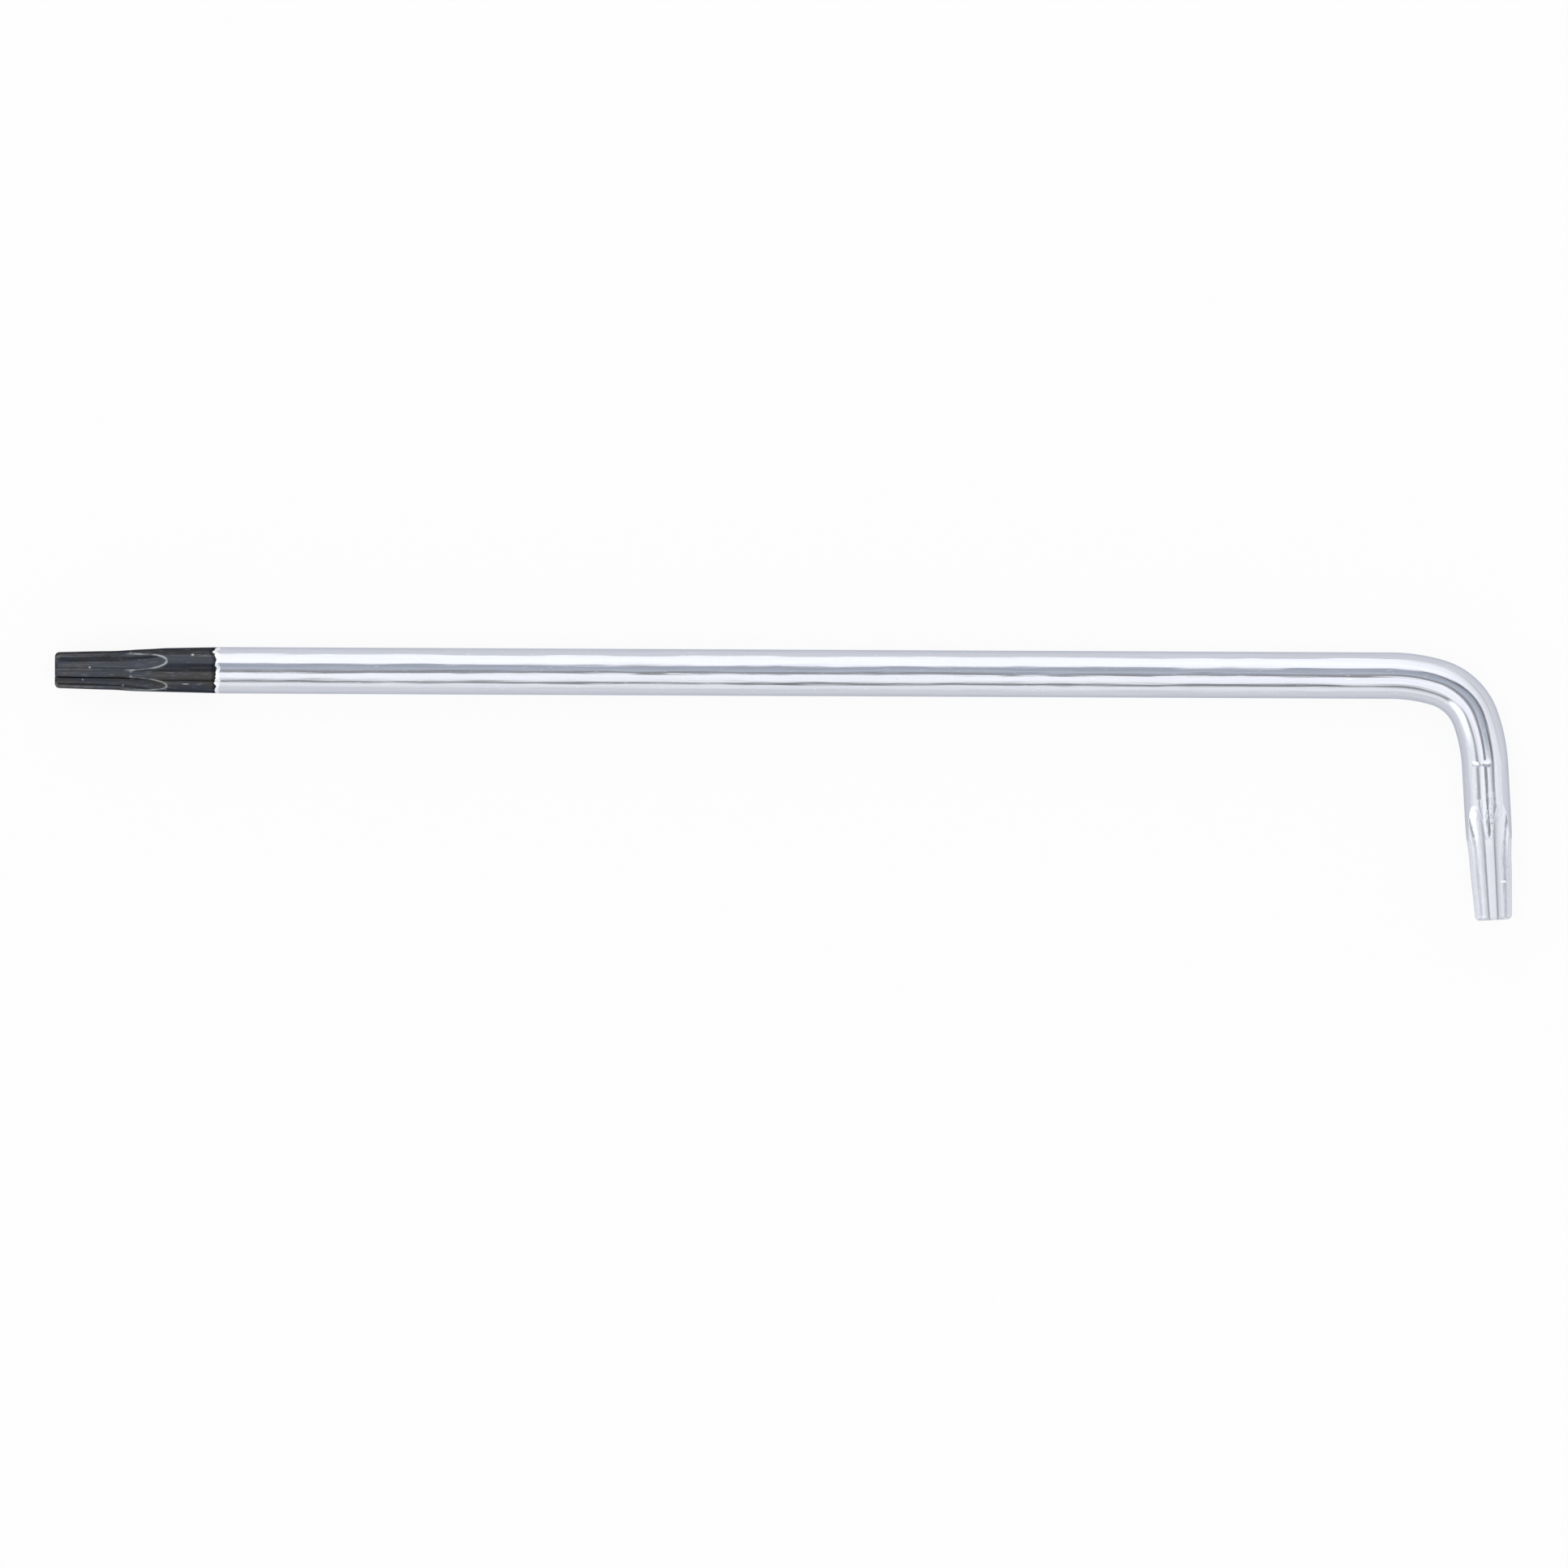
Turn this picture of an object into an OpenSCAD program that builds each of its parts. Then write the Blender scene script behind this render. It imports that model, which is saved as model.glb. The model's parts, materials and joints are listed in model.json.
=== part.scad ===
// Star key: a round steel bar bent into an L, with a five-lobed star drive formed on both ends.
// It lies flat. The long arm runs along X with its black tip at the low end, the short arm points
// towards -Y, and the origin is on the ground under the middle of the key's box.

/* [Bar] */
// Diameter of the round bar
bar_d = 6; // [5.7:0.1:7]

/* [Arms] */
// Long arm, from the end of its star to the start of the bend
long_l = 172.6; // [60:0.1:300]
// Short arm, from the end of its star to the end of the bend
short_l = 20; // [16.5:0.5:60]

/* [Bend] */
// Turn of the bar, away from straight
bend_turn = 86.5; // [60:0.5:100]
// Radius of the bar's axis through the middle of the bend
bend_r = 7.5; // [5:0.5:10]
// Radius of the bar's axis where the bend starts and ends
lead_r = 22; // [12:1:24]
// Turn that each end of the bend takes at the wider radius
lead_turn = 16; // [4:1:20]

/* [Star] */
// Diameter of the circle round the lobes at the end face
star_across = 4.8; // [4.6:0.05:5.1]
// Diameter of the circle inside the flutes at the end face
star_root = 3.65; // [3.4:0.05:3.8]
// Width of a lobe's crest between its rounded corners, at the end face
crest_w = 0.6; // [0.3:0.05:0.8]
// Radius of the rounded corners of the lobes at the end face
lobe_r = 0.22; // [0.16:0.01:0.3]
// Radius of the arc on which the flutes rise out of the bar
runout_r = 39; // [20:1:46]
// Radius of the rounded edge of the end face
nose_r = 0.6; // [0.1:0.05:0.7]

/* [Long star tip] */
// Length of the flutes before they start to rise
long_flute_l = 6.2; // [4:0.1:10]
// Half angle of the star's taper
long_star_taper = 1.7; // [0:0.1:2]
// Plain black collar between the flutes and the plating
long_collar_l = 6.2; // [2:0.1:12]
// Half angle of the black collar's taper
long_collar_taper = 1.2; // [0:0.1:1.6]
// Turn of the nearest lobe away from straight up
long_star_turn = 11; // [0:1:36]

/* [Short star tip] */
// Length of the flutes before they start to rise
short_flute_l = 6.5; // [4:0.25:8.5]
// Half angle of the star's taper
short_star_taper = 3.1; // [0:0.1:4]
// Plain bar between the flutes and the straight arm
short_collar_l = 0.8; // [0.2:0.1:1.2]
// Turn of the nearest lobe away from straight up
short_star_turn = 0; // [0:1:36]

/* [Hidden] */
$fn = 96;

// Five lobes, each with a flute on either side
lobes = 5;
pitch = 360 / lobes;
// Steps along a lobe's corner, half a flute, the rounded nose and the run-out
lobe_steps = 4;
flute_steps = 8;
nose_steps = 5;
runout_steps = 14;
// Shortest run-out, as a share of the longest
runout_least_share = 0.05;

plated = "#d3d6de";
black = "#31353d";

bar_r = bar_d / 2;
square_turn = 90;
half_turn = 180;

// A tip is written as flute length, star taper, collar length, collar taper
long_tip = [long_flute_l, long_star_taper, long_collar_l, long_collar_taper];
short_tip = [short_flute_l, short_star_taper, short_collar_l, 0];
function flute_l(tip) = tip[0];
function star_taper(tip) = tip[1];
function collar_l(tip) = tip[2];
function collar_taper(tip) = tip[3];

// Star outline at the end face: a crest on the circle round the lobes, then the arc of the lobe's
// corner and the arc of the flute, each tangent to the next
crest_r = star_across / 2;
root_r = star_root / 2;
crest_turn = asin(crest_w / star_across);
lobe_centre = crest_r - lobe_r;
flute_turn = pitch / 2 - crest_turn;
flute_r = (lobe_r ^ 2 - lobe_centre ^ 2 - root_r ^ 2 + 2 * lobe_centre * root_r * cos(flute_turn))
    / (2 * (root_r - lobe_centre * cos(flute_turn) - lobe_r));
flute_centre = root_r + flute_r;
// Turn of the corner's arc to where it meets the flute's arc, and of the flute's arc to its floor
corner_sweep = atan2(flute_centre * sin(flute_turn), flute_centre * cos(flute_turn) - lobe_centre);
meet_turn = crest_turn + corner_sweep;
flute_sweep = meet_turn - pitch / 2;

function turned(r, angle) = [r * cos(angle), r * sin(angle)];
function polar(p) = [atan2(p.y, p.x), norm(p)];

// Half a period of the outline, from the middle of a crest to a flute's floor, as angle and radius
lobe_arc = [for (i = [0 : lobe_steps])
    polar(turned(lobe_centre, crest_turn)
        + turned(lobe_r, crest_turn + corner_sweep * i / lobe_steps))];
flute_arc = [for (i = [1 : flute_steps])
    polar(turned(flute_centre, pitch / 2)
        - turned(flute_r, meet_turn - flute_sweep * i / flute_steps))];
half_outline = concat([[0, crest_r]], lobe_arc, flute_arc);
half_last = len(half_outline) - 1;
outline = [for (k = [0 : lobes - 1]) each concat(
    [for (p = half_outline) [k * pitch + p[0], p[1]]],
    [for (i = [half_last - 1 : -1 : 1]) [(k + 1) * pitch - half_outline[i][0], half_outline[i][1]]])];

// Length over which the flutes rise to the collar's surface, and the length of the whole tip
function grown(tip, s) = 1 + min(s, flute_l(tip)) * tan(star_taper(tip)) / crest_r;
function collar_r(tip, back) = bar_r - back * tan(collar_taper(tip));
function flute_depth(tip) = collar_r(tip, collar_l(tip)) - root_r * grown(tip, flute_l(tip));
function runout_l(tip) = sqrt(runout_r ^ 2 - (runout_r - flute_depth(tip)) ^ 2);
function tip_l(tip) = flute_l(tip) + runout_l(tip) + collar_l(tip);

// Radius of the tip at a point of the outline, at the distance s from the end face
function rise(u) = u <= 0 ? 0 : runout_r - sqrt(runout_r ^ 2 - u ^ 2);
function nose_cut(s) = s >= nose_r ? 0 : nose_r - sqrt(nose_r ^ 2 - (nose_r - s) ^ 2);
function tip_r(tip, s, outline_r) = min(
    collar_r(tip, tip_l(tip) - s),
    outline_r * grown(tip, s) + rise(s - flute_l(tip))) - nose_cut(s);

// Distance from the straight flutes to where a point of the outline has risen to the tapered collar
function runout_at(tip, outline_r) =
    let (slope = tan(collar_taper(tip)),
         depth = collar_r(tip, tip_l(tip) - flute_l(tip)) - outline_r * grown(tip, flute_l(tip)),
         level = runout_r - max(depth, 0))
    (level * slope + sqrt((level * slope) ^ 2 + (1 + slope ^ 2) * (runout_r ^ 2 - level ^ 2)))
        / (1 + slope ^ 2);

// Distances from the end face at which a line of points along the tip has its points. The last but one
// lies on the edge where the flutes run out, so that one ring of points follows that edge
function stations(tip, outline_r) =
    let (rise_l = max(runout_at(tip, outline_r), runout_least_share * runout_l(tip)))
    concat(
        [for (i = [0 : nose_steps]) nose_r * (1 - cos(square_turn * i / nose_steps))],
        [for (i = [0 : runout_steps]) flute_l(tip) + rise_l * i / runout_steps],
        [tip_l(tip)]);
rings = len(stations(long_tip, crest_r));
function tip_points(tip) =
    let (lines = [for (p = outline) [for (s = stations(tip, p[1]))
        concat(turned(tip_r(tip, s, p[1]), p[0]), [s])]])
    [for (j = [0 : rings - 1]) for (line = lines) line[j]];

// The bend is the same on both sides of the plane that halves it. These are the distances from the
// centre of its middle arc to the corner of the axes, and from that corner to either end of the bend
mid_turn = bend_turn - 2 * lead_turn;
centre_step = lead_r - bend_r;
corner_r = (lead_r - centre_step * cos(lead_turn)) / cos(bend_turn / 2);
bend_t = corner_r * sin(bend_turn / 2) + centre_step * sin(lead_turn);
// Cutting block for half a bend, and the turn by which the middle arc overruns the cut
cut_l = lead_r + bend_r + bar_d;
overrun_turn = 1;

// Plain bar between the tips and the bend, and the arms measured to the corner of the axes
long_arm_l = long_l - tip_l(long_tip);
short_arm_l = short_l - tip_l(short_tip);
long_reach = long_l + bend_t;
short_reach = short_l + bend_t;

// How far the short arm's points lie from the corner along X and along -Y
short_points = [for (p = tip_points(short_tip))
    let (side = -p.x * sin(half_turn + short_star_turn) - p.y * cos(half_turn + short_star_turn))
    [(short_reach - p.z) * cos(bend_turn) + side * sin(bend_turn),
     (short_reach - p.z) * sin(bend_turn) - side * cos(bend_turn)]];
reach_x = max([for (p = short_points) p.x]);
reach_y = max([for (p = short_points) p.y]);
corner = [(long_reach - reach_x) / 2, (reach_y - bar_r) / 2, bar_r];

// Star tip along Z, with its end face at zero and a lobe along X
module star_tip(tip) {
    count = len(outline);
    end_face = [for (i = [0 : count - 1]) i];
    bar_face = [for (i = [count - 1 : -1 : 0]) (rings - 1) * count + i];
    sides = [for (j = [0 : rings - 2]) for (i = [0 : count - 1])
        let (a = j * count + i, b = j * count + (i + 1) % count)
        each [[b + count, b, a], [a + count, b + count, a]]];
    polyhedron(points = tip_points(tip), faces = concat([end_face, bar_face], sides));
}

// Places a shape on the long arm, back from the corner, with its Z along the arm towards the corner
module on_long_arm(back) {
    translate(corner)
        translate([-back, 0, 0])
            rotate([0, square_turn, 0])
                children();
}

// Places a shape on the short arm, back from the corner, with its Z along the arm towards the corner
module on_short_arm(back) {
    translate(corner)
        rotate([0, 0, half_turn - bend_turn])
            translate([-back, 0, 0])
                rotate([0, square_turn, 0])
                    children();
}

module long_star_tip() {
    color(black)
        on_long_arm(long_reach)
            rotate([0, 0, half_turn + long_star_turn])
                star_tip(long_tip);
}

module long_arm() {
    color(plated)
        on_long_arm(bend_t + long_arm_l)
            cylinder(d = bar_d, h = long_arm_l);
}

module bend_arc(r, turn) {
    rotate_extrude(angle = turn)
        translate([r, 0])
            circle(d = bar_d);
}

// Half the bend, with the centre of its middle arc at zero and X along the halving plane
module bend_half() {
    intersection() {
        rotate([0, 0, mid_turn / 2])
            union() {
                mirror([0, 1, 0])
                    bend_arc(bend_r, mid_turn / 2 + overrun_turn);
                translate([-centre_step, 0, 0])
                    bend_arc(lead_r, lead_turn);
            }
        translate([-cut_l, 0, -cut_l])
            cube(2 * cut_l);
    }
}

module elbow() {
    color(plated)
        translate(corner)
            rotate([0, 0, square_turn - bend_turn / 2])
                translate([-corner_r, 0, 0])
                    union() {
                        bend_half();
                        mirror([0, 1, 0])
                            bend_half();
                    }
}

module short_arm() {
    color(plated)
        on_short_arm(bend_t + short_arm_l)
            cylinder(d = bar_d, h = short_arm_l);
}

module short_star_tip() {
    color(plated)
        on_short_arm(short_reach)
            rotate([0, 0, half_turn + short_star_turn])
                star_tip(short_tip);
}

long_star_tip();
long_arm();
elbow();
short_arm();
short_star_tip();
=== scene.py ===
import json
import math

import bpy
from bpy.props import FloatProperty, FloatVectorProperty, IntProperty, PointerProperty
from bpy.types import Operator, Panel, PropertyGroup
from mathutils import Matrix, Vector


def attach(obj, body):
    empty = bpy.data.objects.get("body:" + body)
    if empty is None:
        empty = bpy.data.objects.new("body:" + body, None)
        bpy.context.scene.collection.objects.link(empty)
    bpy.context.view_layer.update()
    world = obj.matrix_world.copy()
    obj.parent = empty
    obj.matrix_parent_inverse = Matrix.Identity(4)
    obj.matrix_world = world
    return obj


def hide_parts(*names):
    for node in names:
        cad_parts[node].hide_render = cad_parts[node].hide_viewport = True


bl_info = {
    "name": "Star key",
    "version": (1, 0, 0),
    "blender": (4, 5, 0),
    "location": "3D View > Sidebar > Star key",
    "description": "Makes an L-shaped star key of plated bar, with a star on both ends and one black tip",
    "category": "Add Mesh",
}

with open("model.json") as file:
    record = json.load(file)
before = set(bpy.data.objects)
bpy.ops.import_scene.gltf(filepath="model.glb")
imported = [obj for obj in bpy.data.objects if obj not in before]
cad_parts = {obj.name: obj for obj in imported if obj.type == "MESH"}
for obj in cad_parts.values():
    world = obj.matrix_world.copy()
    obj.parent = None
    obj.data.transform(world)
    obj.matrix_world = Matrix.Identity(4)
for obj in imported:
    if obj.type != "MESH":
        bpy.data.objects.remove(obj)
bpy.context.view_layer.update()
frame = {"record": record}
mounts = {mount["name"]: mount for mount in frame["record"]["mounts"]}

BODY = "root"
MM = 0.001

# Attributes on the finished meshes: a point's place on the bar before it was bent, its wear, how near it is
# to the middle of a crest of the star, and the side of the nick that gets a painted highlight
STRAIGHT = "straight_bar"
WEAR = "wear"
CREST = "crest"
NICK_PAINTED_HIGHLIGHT = "scrape"

# Lobes of a star, and the turn from a lobe's crest to the floor of the next flute
LOBES = 5
HALF_PITCH = math.pi / LOBES

# Faces that meet at more than this are shaded with a hard edge
HARD_EDGE = math.radians(50)


# Kinds of settings

def length(name, description, millimetres):
    """A length property, with its default in millimetres."""
    return FloatProperty(
        name=name,
        description=description,
        default=millimetres * MM,
        unit="LENGTH",
        precision=6,
    )


def angle(name, description, degrees):
    """An angle property, with its default in degrees."""
    return FloatProperty(
        name=name,
        description=description,
        default=math.radians(degrees),
        unit="ROTATION",
    )


def share(name, description, default):
    """A property between nothing and one."""
    return FloatProperty(
        name=name,
        description=description,
        default=default,
        min=0,
        max=1,
        subtype="FACTOR",
    )


def light_level(name, description, default):
    """A property for the light of a part of the tent, where 1 is white."""
    return FloatProperty(name=name, description=description, default=default, min=0)


def colour(name, description, default):
    """A colour property."""
    return FloatVectorProperty(
        name=name,
        description=description,
        default=default,
        min=0,
        max=1,
        subtype="COLOR",
    )


class BarSizes(PropertyGroup):
    """Sizes of the bar, its bend and the marks on it."""

    diameter: length("Diameter", "Diameter of the round bar", 2 * mounts["long_shank"]["dims"]["r_mm"])
    bend_radius: length("Bend radius", "Radius of the bar's axis in the middle of the bend", 7.5)
    lead_radius: length("Lead radius", "Radius of the bar's axis where the bend starts and ends", 22)
    lead_turn: angle("Lead turn", "Turn that each end of the bend takes at the wider radius", 16)
    lip_length: length("Lip length", "Length of the plating's rounded edge beside the black tip", 0.3)
    lip_depth: length("Lip depth", "Step from the plating down to the black tip", 0.02)
    nick_place: length("Nick place", "Distance of the nick before the end of the bend", 0.2)
    nick_aside: length("Nick aside", "Distance of the nick's middle from the top of the bar", 0.5)
    nick_depth: length("Nick depth", "Depth of the nick across the bar", 0.1)
    nick_before: length("Nick before", "Width of the nick's gentle side, towards the bend", 0.3)
    nick_after: length("Nick after", "Width of the nick's steep side, towards the short arm", 0.2)
    nick_reach: length("Nick reach", "Half the length of the nick across the bar", 1.25)
    nick_spacing: length("Nick spacing", "Distance of the nick's deep places from its middle", 0.85)
    nick_shallow: share("Nick shallow", "Depth in the nick's middle, as a share of its full depth", 0.3)
    sides: IntProperty(name="Sides", description="Sides of the round bar's mesh", default=144, min=12)


class StarSizes(PropertyGroup):
    """Sizes that both stars share."""

    across: length("Across lobes", "Circle round the lobes at the end face", 4.8)
    root: length("Across flutes", "Circle inside the flutes at the end face", 3.65)
    crest_width: length("Crest width", "Width of a lobe's crest between its rounded corners", 0.6)
    lobe_radius: length("Lobe radius", "Radius of the rounded corners of the lobes", 0.22)
    runout_radius: length("Run-out radius", "Radius of the arc on which the flutes rise", 39)
    nose_radius: length("Nose radius", "Radius of the rounded edge of the end face", 0.6)
    edge_round: length("Edge rounding", "Softening of the edge where a flute runs out", 0.06)
    wear_width: length("Wear width", "Half the width of the worn line along the run-out edges", 0.12)
    corner_wear: share("Corner wear", "Wear of the lobes' corners, as a share of the run-outs' wear", 0.2)


class LongTipSizes(PropertyGroup):
    """Sizes of the black star tip on the long arm."""

    flute_length: length("Flute length", "Length of the flutes before they start to rise", 6.2)
    star_taper: angle("Star taper", "Half angle of the star's taper", 1.7)
    collar_length: length("Collar length", "Plain black collar between the flutes and the plating", 6.2)
    collar_taper: angle("Collar taper", "Half angle of the black collar's taper", 1.2)
    turn: angle("Turn", "Turn of the nearest lobe away from straight up", 11)


class ShortTipSizes(PropertyGroup):
    """Sizes of the plated star tip on the short arm."""

    flute_length: length("Flute length", "Length of the flutes before they start to rise", 6.5)
    star_taper: angle("Star taper", "Half angle of the star's taper", 3.1)
    collar_length: length("Collar length", "Plain bar between the flutes and the straight arm", 0.8)
    collar_taper: angle("Collar taper", "Half angle of the collar's taper", 0)
    turn: angle("Turn", "Turn of the nearest lobe away from straight up", 0)


class Finishes(PropertyGroup):
    """Colours and gloss of the two finishes."""

    plating: colour("Plating", "Bright plating", (0.665, 0.68, 0.745))
    plating_edge: colour("Plating edge", "Tint of the plating seen at a low angle", (0.74, 0.77, 0.83))
    plating_roughness: share("Plating roughness", "Roughness of the plating", 0.07)
    black: colour("Black finish", "Blue-black finish of the tip", (0.047, 0.052, 0.065))
    brown: colour("Brown tone", "Warmer tone in patches of the black finish", (0.053, 0.052, 0.053))
    black_edge: colour("Black edge", "Tint of the black finish seen at a low angle", (0.42, 0.42, 0.45))
    black_roughness: share("Black roughness", "Roughness of the black finish", 0.1)
    worn: colour("Worn steel", "Bare steel where a finish is worn or pitted", (0.33, 0.34, 0.36))
    # Also the colour of the painted highlight beside the black finish and on the nick
    burnished_and_highlight: colour("Burnished plating", "Plating that was rubbed bright", (0.93, 0.94, 0.97))


class Studio(PropertyGroup):
    """Floor, light and view."""

    floor: colour("Floor", "White floor", (0.85, 0.85, 0.85))
    floor_width: length("Floor width", "Width of the floor", 4000)
    floor_glow: share("Floor glow", "Share of plain white in the floor that is seen", 0.9)
    mirrored_glow: share("Mirrored glow", "Share of plain white in the floor seen in a reflection", 0.4)
    overhead_light: light_level("Overhead light", "Light that the tent has more overhead", 0.36)
    back_light: light_level("Back light", "Light that the tent has more at the back, on the left", 0.4)
    card_light: light_level("Card light", "Light of the grey card", 0.69)
    rim_light: light_level("Rim light", "Light of the panel's dark rim, in front and behind", 0.27)
    rim_side_light: light_level("Rim side light", "Light that the rim has more at its sides", 0.25)
    stand_light: light_level("Stand light", "Light of the dark stand behind the card", 0.22)
    lamp_light: light_level("Lamp light", "Light of the lamp", 1.6)
    opening_light: light_level("Opening light", "Light of the opening for the camera", 0.41)
    view_width: length("View width", "Width of the picture", 202.64)
    view_x: length("View x", "Middle of the picture along the long arm", 0.07)
    view_y: length("View y", "Middle of the picture across the long arm", -0.05)
    view_turn: angle("View turn", "Turn of the picture", 0.264)
    camera_height: length("Camera height", "Height of the camera over the floor", 500)


class StarKey(PropertyGroup):
    """All the settings of the key and its stage."""

    bar: PointerProperty(name="Bar", description="Sizes of the bar and its bend", type=BarSizes)
    star: PointerProperty(name="Star", description="Sizes that both stars share", type=StarSizes)
    long_tip: PointerProperty(name="Black tip", description="Tip of the long arm", type=LongTipSizes)
    short_tip: PointerProperty(name="Plated tip", description="Tip of the short arm", type=ShortTipSizes)
    finishes: PointerProperty(name="Finishes", description="Colours and gloss", type=Finishes)
    studio: PointerProperty(name="Stage", description="Floor, light and view", type=Studio)


# Node trees

class Wire:
    """An output of a node, so that sums on it read as sums and add Math nodes to its board."""

    def __init__(self, board, socket):
        self.board = board
        self.socket = socket

    def math(self, operation, *others):
        return self.board.math(operation, self, *others)

    def __add__(self, other):
        return self.math("ADD", other)

    def __radd__(self, other):
        return self.board.math("ADD", other, self)

    def __sub__(self, other):
        return self.math("SUBTRACT", other)

    def __rsub__(self, other):
        return self.board.math("SUBTRACT", other, self)

    def __mul__(self, other):
        return self.math("MULTIPLY", other)

    def __rmul__(self, other):
        return self.board.math("MULTIPLY", other, self)

    def __truediv__(self, other):
        return self.math("DIVIDE", other)

    def __rtruediv__(self, other):
        return self.board.math("DIVIDE", other, self)

    def __pow__(self, other):
        return self.math("POWER", other)

    def __neg__(self):
        return self.math("MULTIPLY", -1)

    def __abs__(self):
        return self.math("ABSOLUTE")


class Board:
    """A node tree that nodes are added to."""

    def __init__(self, tree):
        self.tree = tree
        tree.nodes.clear()

    def node(self, kind, settings=None, inputs=None):
        """Adds a node, makes its settings, then gives its sockets their values or links."""
        made = self.tree.nodes.new(kind)
        for name, value in (settings or {}).items():
            setattr(made, name, value)
        for key, value in (inputs or {}).items():
            socket = self.socket(made.inputs, key)
            if isinstance(value, Wire):
                self.tree.links.new(value.socket, socket)
            else:
                socket.default_value = value
        return made

    def wire(self, kind, settings=None, inputs=None, output=0):
        """Adds a node and returns one of its outputs."""
        made = self.node(kind, settings, inputs)
        return Wire(self, self.socket(made.outputs, output))

    @staticmethod
    def socket(sockets, key):
        """A socket by its number or its identifier."""
        if isinstance(key, int):
            return sockets[key]
        return next(socket for socket in sockets if socket.identifier == key)

    def math(self, operation, *values):
        return self.wire("ShaderNodeMath", {"operation": operation}, dict(enumerate(values)))

    def vector_math(self, operation, *values):
        return self.wire("ShaderNodeVectorMath", {"operation": operation}, dict(enumerate(values)))

    def split(self, vector):
        """The three numbers of a vector."""
        parts = self.node("ShaderNodeSeparateXYZ", inputs={"Vector": vector})
        return [Wire(self, output) for output in parts.outputs]

    def join(self, x, y, z):
        """A vector of three numbers."""
        return self.wire("ShaderNodeCombineXYZ", inputs={"X": x, "Y": y, "Z": z})

    def ramp(self, value, start, end):
        """A number that goes smoothly from 0 to 1 while the value goes from start to end."""
        inputs = {"Value": value, "From Min": start, "From Max": end}
        return self.wire("ShaderNodeMapRange", {"interpolation_type": "SMOOTHSTEP"}, inputs)

    def mix(self, factor, first, second):
        """A colour between two colours."""
        inputs = {"Factor_Float": factor, "A_Color": first, "B_Color": second}
        return self.wire("ShaderNodeMix", {"data_type": "RGBA"}, inputs, "Result_Color")

    def attribute(self, name, output="Fac"):
        """A named attribute of the mesh that a material is on."""
        return self.wire("ShaderNodeAttribute", {"attribute_name": name}, output=output)

    def noise(self, place, grain, detail=2.0):
        """Noise about one half, with a grain of the given length, width and height."""
        scaled = self.vector_math("DIVIDE", place, grain)
        return self.wire("ShaderNodeTexNoise", inputs={"Vector": scaled, "Scale": 1, "Detail": detail})

    def specks(self, place, spacing, radius, kept):
        """Small round specks at random places, of which a share is kept."""
        scaled = self.vector_math("DIVIDE", place, (spacing, spacing, spacing))
        cells = self.node("ShaderNodeTexVoronoi", inputs={"Vector": scaled, "Scale": 1})
        distance = Wire(self, self.socket(cells.outputs, "Distance"))
        chance = self.split(Wire(self, self.socket(cells.outputs, "Color")))[0]
        near = self.ramp(distance * spacing, radius, radius / 2)
        return near * chance.math("LESS_THAN", kept)


def bell(value, width):
    """A bell-shaped bump that is 1 where the value is zero."""
    return (-((value / width) ** 2)).math("EXPONENT")


def opaque(rgb):
    """A colour with full alpha, as colour sockets take it."""
    return (*rgb, 1)


# Sizes that follow from others

def mount_place(name):
    return Vector(mounts[name]["pos_m"])


def mount_axis(name):
    return Vector(mounts[name]["axis"]).normalized()


def star_growth(star, tip):
    """How much larger the star is at the end of its straight flutes than at its end face."""
    return 1 + tip.flute_length * math.tan(tip.star_taper) / (star.across / 2)


def runout_length(bar, star, tip):
    """Length over which the flutes rise on their arc to the collar."""
    collar = bar.diameter / 2 - tip.collar_length * math.tan(tip.collar_taper)
    depth = collar - star.root / 2 * star_growth(star, tip)
    return math.sqrt(star.runout_radius ** 2 - (star.runout_radius - depth) ** 2)


def tip_length(bar, star, tip):
    """Length of a star tip from its end face to the plain bar."""
    return tip.flute_length + runout_length(bar, star, tip) + tip.collar_length


def crest_turn(star):
    """Angle, seen from the star's centre, from the middle of a lobe's crest to its rounded corner."""
    return math.asin(star.crest_width / star.across)


def flute_radius(star):
    """Radius of the flute arcs, which run smoothly into the lobes' corners."""
    lobe_centre = star.across / 2 - star.lobe_radius
    root = star.root / 2
    across = lobe_centre * math.cos(HALF_PITCH - crest_turn(star))
    squares = star.lobe_radius ** 2 - lobe_centre ** 2 - root ** 2
    return (squares + 2 * across * root) / (2 * (root - across - star.lobe_radius))


def meeting_angle(star):
    """Angle, seen from the star's centre, from the middle of a crest to where corner and flute meet."""
    lobe_centre = star.across / 2 - star.lobe_radius
    flute_centre = star.root / 2 + flute_radius(star)
    flute_turn = HALF_PITCH - crest_turn(star)
    along = flute_centre * math.cos(flute_turn) - lobe_centre
    aside = flute_centre * math.sin(flute_turn)
    to_meeting = star.lobe_radius / math.hypot(along, aside)
    return crest_turn(star) + math.atan2(to_meeting * aside, lobe_centre + to_meeting * along)


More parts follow.
